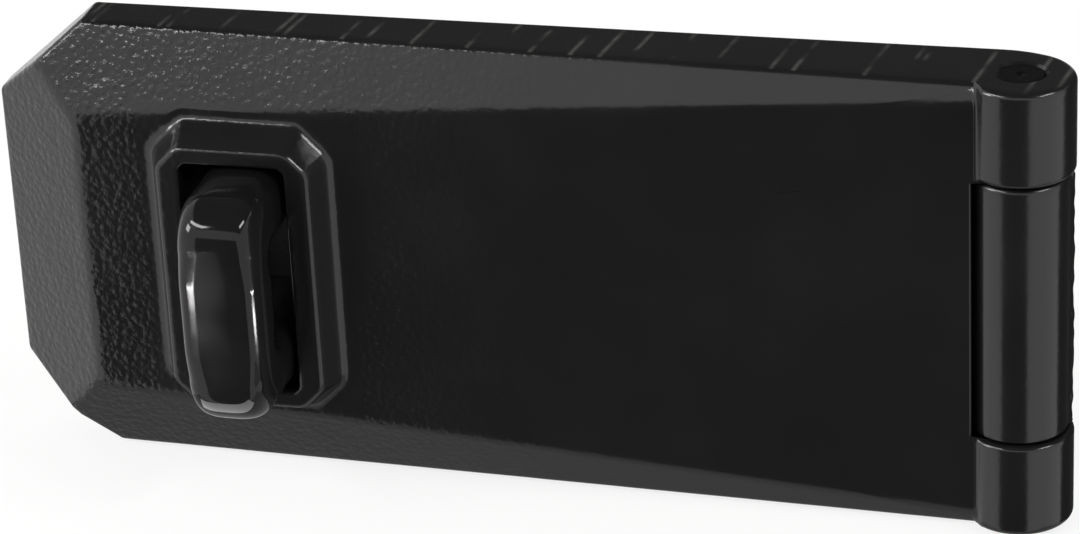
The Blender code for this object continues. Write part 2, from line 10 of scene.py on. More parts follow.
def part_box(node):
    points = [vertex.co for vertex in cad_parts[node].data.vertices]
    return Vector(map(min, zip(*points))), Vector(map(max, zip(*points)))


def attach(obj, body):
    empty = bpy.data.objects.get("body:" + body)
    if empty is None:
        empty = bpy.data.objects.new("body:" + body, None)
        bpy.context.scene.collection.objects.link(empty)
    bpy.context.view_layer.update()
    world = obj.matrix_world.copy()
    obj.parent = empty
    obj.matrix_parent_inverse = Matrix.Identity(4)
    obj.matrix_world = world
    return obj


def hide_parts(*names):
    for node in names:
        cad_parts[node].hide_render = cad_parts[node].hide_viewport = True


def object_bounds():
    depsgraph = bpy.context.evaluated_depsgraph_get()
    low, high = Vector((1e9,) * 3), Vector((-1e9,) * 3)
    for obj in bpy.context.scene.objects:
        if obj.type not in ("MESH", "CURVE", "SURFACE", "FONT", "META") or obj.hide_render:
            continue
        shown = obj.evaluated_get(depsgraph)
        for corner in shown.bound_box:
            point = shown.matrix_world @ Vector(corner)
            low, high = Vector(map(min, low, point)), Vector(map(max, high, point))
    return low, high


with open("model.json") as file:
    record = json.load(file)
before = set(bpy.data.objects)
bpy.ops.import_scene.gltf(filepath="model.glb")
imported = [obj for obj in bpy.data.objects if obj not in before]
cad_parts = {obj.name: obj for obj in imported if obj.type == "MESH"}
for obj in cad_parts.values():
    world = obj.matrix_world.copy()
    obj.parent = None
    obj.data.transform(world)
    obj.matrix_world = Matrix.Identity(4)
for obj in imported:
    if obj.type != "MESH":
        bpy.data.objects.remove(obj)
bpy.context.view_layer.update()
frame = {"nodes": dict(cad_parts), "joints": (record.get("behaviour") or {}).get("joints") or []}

mm = 0.001


def linearColour(hexColour):
    # sRGB hex to the linear value that the shaders take
    channels = [int(hexColour[i:i + 2], 16) / 255 for i in (0, 2, 4)]
    return [c / 12.92 if c <= 0.04045 else ((c + 0.055) / 1.055) ** 2.4 for c in channels] + [1.0]


def addNode(tree, kind, settings=(), links=()):
    # a node with its settings: an input's name or number gets a value, any other name is a property
    node = tree.nodes.new(kind)
    for key, value in dict(settings).items():
        if isinstance(key, int) or key in node.inputs:
            node.inputs[key].default_value = value
        else:
            setattr(node, key, value)
    for key, socket in dict(links).items():
        tree.links.new(socket, node.inputs[key])
    return node


def maths(tree, operation, *inputs):
    # a maths node whose inputs are sockets or plain values
    node = addNode(tree, "ShaderNodeMath", {"operation": operation})
    for i, value in enumerate(inputs):
        if isinstance(value, bpy.types.NodeSocket):
            tree.links.new(value, node.inputs[i])
        else:
            node.inputs[i].default_value = value
    return node.outputs[0]


def noise(tree, place, size, detail, harshness=0.5):
    # soft patches of a size in mm
    return addNode(tree, "ShaderNodeTexNoise", {
        "Scale": 1 / (size * mm), "Detail": detail, "Roughness": harshness}, {"Vector": place}).outputs["Fac"]


def ramp(tree, source, low, high, start, end, kind="LINEAR"):
    # a value that goes from start to end while the source goes from low to high
    return addNode(tree, "ShaderNodeMapRange", {
        "From Min": low, "From Max": high, "To Min": start, "To Max": end, "interpolation_type": kind,
    }, {"Value": source}).outputs[0]


def newMaterial(name):
    material = bpy.data.materials.new(name)
    material.use_nodes = True
    tree = material.node_tree
    return material, tree, tree.nodes["Principled BSDF"]


# The camera stands where the photo was taken from, found by fitting the cover's corners
shot = {
    "azimuth": 15.12,        # degrees to the right of straight on
    "elevation": 25.86,      # degrees above
    "roll": -2.93,           # degrees
    "place": (124.4, -610.4, 301.5),   # mm
    "lens": 141.3,           # mm
    "sensor": 36.0,          # mm
    "nearest": 0.01,         # m
    "farthest": 20.0,        # m
}


def setCamera():
    azimuth, elevation, roll = (math.radians(shot[key]) for key in ("azimuth", "elevation", "roll"))
    level = math.cos(elevation)
    back = Vector((math.sin(azimuth) * level, -math.cos(azimuth) * level, math.sin(elevation)))
    right = Vector((math.cos(azimuth), math.sin(azimuth), 0.0))
    up = back.cross(right)
    tiltedRight = math.cos(roll) * right + math.sin(roll) * up
    tiltedUp = math.cos(roll) * up - math.sin(roll) * right
    lens = bpy.data.cameras.new("shotCamera")
    lens.lens = shot["lens"]
    lens.sensor_width = shot["sensor"]
    lens.clip_start = shot["nearest"]
    lens.clip_end = shot["farthest"]
    camera = bpy.data.objects.new("shotCamera", lens)
    bpy.context.scene.collection.objects.link(camera)
    turn = Matrix((tiltedRight, tiltedUp, back)).transposed().to_4x4()
    camera.matrix_world = Matrix.Translation(Vector(shot["place"]) * mm) @ turn
    bpy.context.scene.camera = camera


def gridFaces(rows, columns, wrapRows=False):
    # the four corners of every cell of a grid whose points are stored row by row, each row a closed ring
    row = np.arange(rows if wrapRows else rows - 1)[:, None]
    column = np.arange(columns)[None, :]
    nextRow, nextColumn = (row + 1) % rows, (column + 1) % columns
    corners = [row * columns + column, row * columns + nextColumn,
               nextRow * columns + nextColumn, nextRow * columns + column]
    return np.stack(corners, axis=-1).reshape(-1, 4)


def steps(count):
    # shares from above nought up to one
    return np.linspace(0, 1, count)[1:]


def heldBack(share, weights):
    # a share that grows slowly at first: the first weight goes with the share, the second with its square
    return share * weights[0] + share ** 2 * weights[1]


surface = {
    "merge": 0.002,          # mm, points closer than this become one
    "sharpAngle": 40.0,      # degrees
}


def cleanSkin(mesh, merge):
    skin = bmesh.new()
    skin.from_mesh(mesh)
    bmesh.ops.remove_doubles(skin, verts=skin.verts[:], dist=merge * mm)
    bmesh.ops.dissolve_degenerate(skin, edges=skin.edges[:], dist=merge * mm)
    return skin


def addPiece(name, mesh, skin, sharpAngle, material):
    # the skin back in its mesh, smooth up to its sharp edges
    skin.to_mesh(mesh)
    skin.free()
    mesh.name = name
    mesh.shade_smooth()
    mesh.set_sharp_from_angle(angle=math.radians(sharpAngle))
    mesh.materials.clear()
    mesh.materials.append(material)
    piece = bpy.data.objects.new(name, mesh)
    bpy.context.scene.collection.objects.link(piece)
    return piece


def addSurface(name, shells, material, body):
    # one mesh from closed shells, each a pair of points (mm) and cells; each shell is turned to face out
    allPoints, allFaces, count = [], [], 0
    for points, faces in shells:
        corner = [points[faces[:, i]] for i in range(4)]
        volume = sum(
            np.einsum("ij,ij->", corner[0], np.cross(corner[i], corner[i + 1])) for i in (1, 2))
        allFaces.append((faces if volume > 0 else faces[:, ::-1]) + count)
        allPoints.append(points)
        count += len(points)
    points, faces = np.concatenate(allPoints), np.concatenate(allFaces)
    mesh = bpy.data.meshes.new(name)
    mesh.vertices.add(len(points))
    mesh.vertices.foreach_set("co", (points * mm).astype(np.float32).ravel())
    mesh.loops.add(faces.size)
    mesh.loops.foreach_set("vertex_index", faces.astype(np.int32).ravel())
    mesh.polygons.add(len(faces))
    mesh.polygons.foreach_set("loop_start", np.arange(0, faces.size, 4, dtype=np.int32))
    mesh.update(calc_edges=True)
    piece = addPiece(name, mesh, cleanSkin(mesh, surface["merge"]), surface["sharpAngle"], material)
    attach(piece, body)
    return piece


def smoothMin(a, b, reach):
    # the lesser of two heights, eased where they lie within the reach of each other
    ease = np.maximum(reach - np.abs(a - b), 0.0) / reach
    return np.minimum(a, b) - ease * ease * reach / 4


setCamera()
bpy.context.scene.view_settings.view_transform = "Standard"
print("camera set")

# Studio: a white tent with dark cards that the gloss reflects, softboxes for the glints on rounded edges, and
# lamps for the staple alone
studio = {
    "floorGap": 0.1,         # mm below the lowest point of the hasp
    "floorSize": 6.0,        # m
    "paperTone": "e6e6e4",
    "paperRoughness": 0.9,
    "paper": 1.12,           # the paper's own white, which makes up for the share that is shaded
    "ownWhite": 0.72,        # share of the paper's own white in what the eye sees of it
    "ambient": 0.6,          # the tent's light on matt surfaces
    "cards": (
        # name, corner (m), first side (m), second side (m), grey
        ("frontCard", (-0.64, -1.0, -1.6), (1.14, 0.0, 0.0), (0.0, 0.0, 1.84), 0.10),
        ("ceilingCard", (-0.95, -1.42, 1.0), (2.75, 0.0, 0.0), (0.0, 3.3, 0.0), 0.10),
        ("backCard", (-2.2, 1.5, 0.12), (3.8, 0.0, 0.0), (0.0, 0.0, 1.1), 0.08),
        ("lowCard", (-1.4, -0.7, -1.0), (2.8, 0.0, 0.0), (0.0, 1.7, 0.0), 0.45),
        ("cornerCard", (1.3, 0.35, -1.4), (-1.1, 1.1, 0.0), (0.0, 0.0, 1.9), 0.05),
    ),
    "lamps": (
        # name, place (m), size (m), strength (W)
        ("keyLamp", (-0.79, -0.71, 0.83), (0.70, 0.13), 4.2),
        ("sideLamp", (0.97, -0.35, 0.87), (0.60, 0.13), 4.5),
        ("leftLamp", (-1.02, -0.52, 0.47), (0.32, 0.24), 3.2),
    ),
    "glints": (
        # lamps low in front, whose light only the polished staple takes
        ("leftGlint", (-0.75, -0.99, -0.540), (0.62, 0.014), 2.8),
        ("rightGlint", (1.0, -0.01, -0.515), (0.60, 0.016), 2.2),
        ("lowGlow", (-0.1, -0.12, -1.0), (1.4, 1.2), 19.0),
    ),
    "aim": (-0.05, 0.0, 0.0),
}


def facing(place):
    # turn that points an object's -Z at the hasp
    return (Vector(studio["aim"]) - Vector(place)).to_track_quat("-Z", "Y").to_euler()


def addPlane(name, corners, material):
    mesh = bpy.data.meshes.new(name)
    mesh.from_pydata(corners, [], [(0, 1, 2, 3)])
    mesh.materials.append(material)
    plane = bpy.data.objects.new(name, mesh)
    bpy.context.scene.collection.objects.link(plane)
    return plane


def addLamp(name, place, size, power):
    light = bpy.data.lights.new(name, "AREA")
    light.shape = "RECTANGLE"
    light.size, light.size_y = size
    light.energy = power
    lamp = bpy.data.objects.new(name, light)
    bpy.context.scene.collection.objects.link(lamp)
    lamp.location = place
    lamp.rotation_euler = facing(place)
    lamp.visible_camera = False
    return lamp


def seenByEye(tree):
    # one for rays from the camera and for those that metal and gloss throw back, zero for the rest
    path = addNode(tree, "ShaderNodeLightPath")
    direct = maths(tree, "MAXIMUM", path.outputs["Is Camera Ray"], path.outputs["Is Glossy Ray"])
    return maths(tree, "MAXIMUM", direct, path.outputs["Is Transmission Ray"])


def makeStudio():
    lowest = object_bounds()[0][2] - studio["floorGap"] * mm
    half = studio["floorSize"] / 2
    material, tree, shader = newMaterial("matt white paper")
    shader.inputs["Base Color"].default_value = linearColour(studio["paperTone"])
    shader.inputs["Roughness"].default_value = studio["paperRoughness"]
    white = addNode(tree, "ShaderNodeEmission", {"Color": (1.0, 1.0, 1.0, 1.0), "Strength": studio["paper"]})
    share = maths(tree, "MULTIPLY", seenByEye(tree), studio["ownWhite"])
    mix = addNode(tree, "ShaderNodeMixShader", {}, {0: share, 1: shader.outputs[0], 2: white.outputs[0]})
    tree.links.new(mix.outputs[0], tree.nodes["Material Output"].inputs["Surface"])
    corners = [(-half, -half, lowest), (half, -half, lowest), (half, half, lowest), (-half, half, lowest)]
    floor = addPlane("paleFloor", corners, material)
    floor.visible_glossy = False
    floor.visible_diffuse = False
    floor.visible_shadow = False
    for name, corner, across, along, grey in studio["cards"]:
        material, tree, shader = newMaterial(name + " cloth")
        glow = addNode(tree, "ShaderNodeEmission", {"Color": (grey, grey, grey, 1.0), "Strength": 1.0})
        tree.links.new(glow.outputs[0], tree.nodes["Material Output"].inputs["Surface"])
        start, first, second = Vector(corner), Vector(across), Vector(along)
        card = addPlane(name, [start, start + first, start + first + second, start + second], material)
        card.visible_camera = False
        card.visible_diffuse = False
        card.visible_shadow = False
    world = bpy.data.worlds.new("lightTent")
    bpy.context.scene.world = world
    world.use_nodes = True
    tree = world.node_tree
    background = tree.nodes["Background"]
    strength = ramp(tree, seenByEye(tree), 0.0, 1.0, studio["ambient"], 1.0)
    tree.links.new(strength, background.inputs["Strength"])
    background.inputs["Color"].default_value = (1.0, 1.0, 1.0, 1.0)
    for lamp in studio["lamps"]:
        addLamp(*lamp)


makeStudio()
print("studio lit")


joint = frame["joints"][0]
axisX, axisDepth = joint["pos_m"][0] / mm, -joint["pos_m"][1] / mm
coverLow, coverHigh = (np.array(corner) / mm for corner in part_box("cover"))
barrelRadius = coverHigh[0] - axisX
fixedRadius = -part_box("hinge_plate")[0][1] / mm - axisDepth
backDepth = -coverHigh[1]
halfWidth = coverHigh[2]


def softPatches(tree, place, look):
    # two tones in soft patches, and a gloss that follows them, over the values that most of the noise has
    noiseLow, noiseHigh = 0.3, 0.7
    cloud = noise(tree, place, look["patch"], look["patchDetail"], look["patchHarshness"])
    colour = addNode(tree, "ShaderNodeValToRGB", {}, {"Fac": cloud})
    for element, tone in zip(colour.color_ramp.elements, look["tones"]):
        element.color = linearColour(tone)
    return colour.outputs[0], ramp(tree, cloud, noiseLow, noiseHigh, *look["roughness"])


castEnamel = {
    "tones": ("101011", "1b1b1a"),
    "patch": 26.0,               # mm
    "patchDetail": 3.0,
    "patchHarshness": 0.6,
    "roughness": (0.16, 0.24),
    "refraction": 1.55,
    "grain": 1.15,               # mm, width and height of the casting's round grains
    "grainHeight": 0.10,
    "fine": 0.7,                 # mm, and of the finer ones between them
    "fineHeight": 0.07,
    "fadesFrom": -118.0,         # mm along the hasp; from here to there the grains fade to this share
    "fadesTo": 0.0,
    "faded": 0.12,
    "bossShare": 0.3,            # they are fainter on the boss and this far past it
    "bossPast": 1.5,
    "sideShare": 0.25,           # and on the ground narrow sides
    "sideInside": (0.25, 0.10),      # mm, where they start and where they are full
    "scratch": "4c4c4a",
    "scratchSpacing": 6.5,       # mm
    "scratchSlant": -0.15,       # mm along the hasp for each mm towards the wall
    "scratchEdge": (0.01, 0.09),     # where it starts to fade and where it has gone, in spacings
    "scratchShare": 0.9,
    "break": 6.0,                # mm, size of the patches that break the scratches
    "breakEdge": (0.42, 0.66),
}


def enamelOnCasting():
    # black enamel, sprayed on a blasted steel casting: glossy, over the casting's round grains, which are
    # high at the free end and die out towards the hinge. The ground narrow sides carry sparse scratches
    look = castEnamel
    material, tree, shader = newMaterial("black enamel on cast steel")
    place = addNode(tree, "ShaderNodeTexCoord").outputs["Object"]
    axes = addNode(tree, "ShaderNodeSeparateXYZ", {}, {0: place})

    def times(first, second):
        return maths(tree, "MULTIPLY", first, second)

    def distance(source, middle):
        # how far a coordinate lies from the middle (mm), on either side
        return maths(tree, "ABSOLUTE", maths(tree, "SUBTRACT", source, middle * mm))

    def within(source, reach):
        return ramp(tree, source, reach * mm, (reach + 1.0) * mm, 1.0, 0.0)

    def lessOn(mask, share):
        return ramp(tree, mask, 0.0, 1.0, 1.0, share)

    height, besideBoss = distance(axes.outputs["Z"], 0.0), distance(axes.outputs["X"], bossX)
    sideStart, sideFull = ((halfWidth - inside) * mm for inside in look["sideInside"])
    onSide = ramp(tree, height, sideStart, sideFull, 0.0, 1.0)
    onBoss = times(within(besideBoss, boss["length"] / 2 + look["bossPast"]),
                   within(height, boss["width"] / 2 + look["bossPast"]))
    # the scratches: thin lines across the narrow sides, broken by patches
    slant = maths(tree, "MULTIPLY_ADD", axes.outputs["Y"], look["scratchSlant"], axes.outputs["X"])
    lines = addNode(tree, "ShaderNodeTexVoronoi", {
        "voronoi_dimensions": "1D", "Scale": 1 / (look["scratchSpacing"] * mm), "Randomness": 1.0,
    }, {"W": slant})
    mark = ramp(tree, lines.outputs["Distance"], *look["scratchEdge"], 1.0, 0.0)
    unbroken = ramp(tree, noise(tree, place, look["break"], 1.0), *look["breakEdge"], 0.0,
                    look["scratchShare"])
    scratch = times(times(mark, unbroken), onSide)
    tones, gloss = softPatches(tree, place, look)
    worn = addNode(tree, "ShaderNodeMix", {"data_type": "RGBA", 7: linearColour(look["scratch"])},
                   {0: scratch, 6: tones})
    tree.links.new(worn.outputs[2], shader.inputs["Base Color"])
    tree.links.new(gloss, shader.inputs["Roughness"])
    shader.inputs["IOR"].default_value = look["refraction"]
    # the grains
    fading = ramp(tree, axes.outputs["X"], look["fadesFrom"] * mm, look["fadesTo"] * mm, 1.0, look["faded"],
                  "SMOOTHSTEP")
    strength = times(times(fading, lessOn(onSide, look["sideShare"])), lessOn(onBoss, look["bossShare"]))
    grains = addNode(tree, "ShaderNodeTexVoronoi", {
        "feature": "SMOOTH_F1", "Scale": 1 / (look["grain"] * mm), "Randomness": 1.0, "Smoothness": 0.5,
    }, {"Vector": place})
    fine = addNode(tree, "ShaderNodeBump", {"Distance": look["fineHeight"] * mm},
                   {"Height": noise(tree, place, look["fine"], 2.0, 0.6), "Strength": strength})
    bump = addNode(tree, "ShaderNodeBump", {"Distance": look["grainHeight"] * mm, "invert": True},
                   {"Height": grains.outputs["Distance"], "Strength": strength, "Normal": fine.outputs[0]})
    tree.links.new(bump.outputs[0], shader.inputs["Normal"])
    return material


def plainFinish(name, look):
    # a finish that is the same all over: soft patches and, on some, a low relief
    material, tree, shader = newMaterial(name)
    place = addNode(tree, "ShaderNodeTexCoord").outputs["Object"]
    tones, gloss = softPatches(tree, place, look)
    tree.links.new(tones, shader.inputs["Base Color"])
    tree.links.new(gloss, shader.inputs["Roughness"])
    shader.inputs["Metallic"].default_value = look["metallic"]
    if "relief" in look:
        relief = noise(tree, place, look["relief"], look["reliefDetail"])
        bump = addNode(tree, "ShaderNodeBump", {
            "Strength": look["reliefShare"], "Distance": look["reliefHeight"] * mm}, {"Height": relief})
        tree.links.new(bump.outputs[0], shader.inputs["Normal"])
    return material


# the same enamel on rolled plate, which is smoother
plateFinish = {
    "tones": ("1e1e1f", "2a2a2a"),
    "patch": 9.0,
    "patchDetail": 4.0,
    "patchHarshness": 0.6,
    "roughness": (0.22, 0.36),
    "metallic": 0.0,
    "relief": 1.2,               # mm, the rolled skin's grain
    "reliefDetail": 2.0,
    "reliefHeight": 0.03,
    "reliefShare": 0.3,
}
# forged steel, polished, plated with black nickel and lacquered: a deep, slightly uneven black mirror
nickelFinish = {
    "tones": ("1b1a1a", "252424"),
    "patch": 7.0,
    "patchDetail": 3.0,
    "patchHarshness": 0.5,
    "roughness": (0.05, 0.09),
    "metallic": 0.5,
    "relief": 11.0,              # mm, the hammer's shallow dents
    "reliefDetail": 0.0,
    "reliefHeight": 0.25,
    "reliefShare": 0.5,
}
# blackened bar, turned at its ends
pinFinish = {
    "tones": ("2b2a2a", "4a4846"),
    "patch": 1.5,
    "patchDetail": 3.0,
    "patchHarshness": 0.5,
    "roughness": (0.32, 0.32),
    "metallic": 1.0,
}


# The cover: one steel casting. Heights above the wall are called depths, all in mm
cover = {
    "fieldDepth": axisDepth + barrelRadius - 2.4,
    "fieldEnd": 16.5,            # from the free end to the flat field
    "endSlope": 0.633,
    "sideSlope": 0.477,
    "facetAtHinge": 2.6,
    "cutLength": 16.7,           # the cut corners
    "cutWidth": 14.6,
    "hipEase": 0.55,             # how softly the facets run into each other
    "wall": 5.0,
    "roof": 5.8,                 # thickness over the hollow
    "edge": 1.2,                 # rounding of the outer edge
    "uprightEdge": 1.6,          # of the upright edges at the free end
    "squareEdge": 0.1,           # and of those at the hinge
    "leastEdge": 0.05,
    "tip": 0.6,                  # how far the corners at the hinge are cut
    "rimEdge": 0.3,
    "notchRadius": fixedRadius + 1.15,   # the room that the middle knuckle needs, and half its length
    "notchHalf": halfWidth - 16.2,
    "notchEdge": 0.45,
    "web": 6.65,                 # between the notch and the hollow
    "pocketCorner": 1.5,
    "pocketSquare": 0.4,         # the hollow's corners at the hinge
    "pocketRound": 0.8,          # between its wall and its roof
    "shortOfAxis": 3.0,          # beside the notch the plate ends here, inside the knuckles
    "faceSpread": (0.75, 0.25),  # the face's rings lie closer together at the boss
    "waviness": 0.035,
    "waveLength": 11.0,
    "waveSeed": 7,
    "sink": 0.02,                # how far a joined shape lies inside the face that it runs into
}
boss = {
    "fromEnd": 45.0,             # from the cover's free end to its middle
    "length": 31.4,
    "width": 51.8,
    "cut": 5.3,
    "corner": 3.2,               # rounding of its eight upright edges
    "cornerTaper": 0.15,         # they grow sharper by this share of the way in, down to the least
    "leastCorner": 0.3,
    "draft": 2.6,
    "footSpread": (0.55, 0.45),
    "footOut": 1.1,              # its foot's round: how far out, in and up the wall
    "footIn": 1.1,
    "footRise": 1.2,
    "rim": 1.0,
    "slotLength": 40.4,
    "slotWidth": 17.8,
    "slotCut": 1.0,
    "slotCorner": 1.0,
    "slotEdge": 0.5,
}
bossX = coverLow[0] + boss["fromEnd"]
bossDepth = -coverLow[1]
# points along the sides of each ring, and rings in each stretch of the profile
sideCounts = {"end": 76, "cut": 12, "long": 110, "corner": 5}
ringCounts = {
    "slot": 8, "mouth": 5, "top": 7, "rim": 6, "lean": 6, "foot": 10, "face": 52, "edge": 7, "wall": 9,
    "pocket": 6, "pocketRound": 4, "roof": 26,
}


def coverFront(x, z, inset):
    # depth of the cast face: the lowest of the flat field, the two side facets and the end facet, each moved
    # in by the inset along its own normal, with eased hips between them
    fieldHalfAtEnd, fieldHalfAtHinge = halfWidth - cover["cutWidth"], halfWidth - cover["facetAtHinge"]
    fieldStart = coverLow[0] + cover["fieldEnd"]
    run = np.array([axisX - fieldStart, fieldHalfAtHinge - fieldHalfAtEnd])
    outward = np.array([-run[1], run[0]]) / np.hypot(*run)
    away = (x - fieldStart) * outward[0] + (np.abs(z) - fieldHalfAtEnd) * outward[1]
    side = cover["fieldDepth"] - cover["sideSlope"] * away - inset * math.hypot(1.0, cover["sideSlope"])
    end = (cover["fieldDepth"] + cover["endSlope"] * (x - fieldStart)
           - inset * math.hypot(1.0, cover["endSlope"]))
    field = np.full_like(x, cover["fieldDepth"] - inset)
    return smoothMin(smoothMin(field, side, cover["hipEase"]), end, cover["hipEase"])


def offsetCorners(corners, inset):
    # the corners of a convex polygon whose sides all move in by the inset (one value, or one per side)
    before = np.roll(corners, 1, axis=0)
    along = corners - before
    along /= np.linalg.norm(along, axis=1)[:, None]
    inward = np.stack([-along[:, 1], along[:, 0]], axis=1)
    reach = np.einsum("ij,ij->i", inward, corners) + inset
    nextInward, nextReach = np.roll(inward, -1, axis=0), np.roll(reach, -1)
    crossed = inward[:, 0] * nextInward[:, 1] - inward[:, 1] * nextInward[:, 0]
    x = (reach * nextInward[:, 1] - nextReach * inward[:, 1]) / crossed
    z = (inward[:, 0] * nextReach - nextInward[:, 0] * reach) / crossed
    return np.stack([x, z], axis=1)


def eightSided(corners, radius, split=None, step=0.0):
    # a loop round eight corners, counterclockwise from the lower end of the right side: straight sides and
    # round corners. With a split, the right side steps in by the step between that height above and below
    before, after = np.roll(corners, 1, axis=0), np.roll(corners, -1, axis=0)
    toBefore = (before - corners) / np.linalg.norm(before - corners, axis=1)[:, None]
    toAfter = (after - corners) / np.linalg.norm(after - corners, axis=1)[:, None]
    half = np.arccos(np.clip(np.einsum("ij,ij->i", toBefore, toAfter), -1, 1)) / 2
    lead = radius / np.tan(half)
    middle = corners + (toBefore + toAfter) / (2 * np.cos(half))[:, None] * (radius / np.sin(half))[:, None]
    starts, ends = corners + toBefore * lead[:, None], corners + toAfter * lead[:, None]
    counts = [sideCounts[key] for key in ("end", "cut", "long", "cut", "end", "cut", "long", "cut")]
    share = steps(sideCounts["corner"] + 1)[:-1]
    loop = []
    for i in range(len(corners)):
        corner = (i + 1) % len(corners)
        if i == 0 and split is not None:
            low, high = ends[i][1], starts[corner][1]
            outer, inner = counts[0] // 4, counts[0] - 2 * (counts[0] // 4)
            heights = np.concatenate([np.linspace(low, -split, outer), np.linspace(-split, split, inner),
                                      np.linspace(split, high, outer)])
            stepped = np.concatenate([np.zeros(outer), np.ones(inner), np.zeros(outer)])
            loop.append(np.stack([ends[i][0] - step * stepped, heights], axis=1))
        else:
            ahead = np.linspace(0, 1, counts[i])[:, None]
            loop.append(ends[i] + (starts[corner] - ends[i]) * ahead)
        turn = starts[corner] - middle[corner]
        sweep = (math.pi - 2 * half[corner]) * share
        cosine, sine = np.cos(sweep), np.sin(sweep)
        loop.append(middle[corner] + np.stack(
            [turn[0] * cosine - turn[1] * sine, turn[0] * sine + turn[1] * cosine], axis=1))
    return np.concatenate(loop)


def octagon(middle, halfAlong, halfAcross, cut):
    # corners of a box with cut corners, counterclockwise from the lower right
    right, left, half = middle + halfAlong, middle - halfAlong, halfAcross
    return np.array([
        (right, cut - half), (right, half - cut), (right - cut, half), (left + cut, half),
        (left, half - cut), (left, cut - half), (left + cut, -half), (right - cut, -half)])


def castRipple(points, seed, length, size):
    # the slow waviness of a cast face: a sum of sine waves in fixed random directions, some shorter and some
    # longer than the length
    waves, shortest, longest = 14, 0.6, 1.6
    random = np.random.default_rng(seed)
    total = np.zeros(len(points))
    for wave in range(waves):
        direction = random.normal(size=3)
        direction *= 2 * math.pi / (length * random.uniform(shortest, longest)) / np.linalg.norm(direction)
        total += np.sin(points @ direction + random.uniform(0, 2 * math.pi))
    return total * size / math.sqrt(waves)


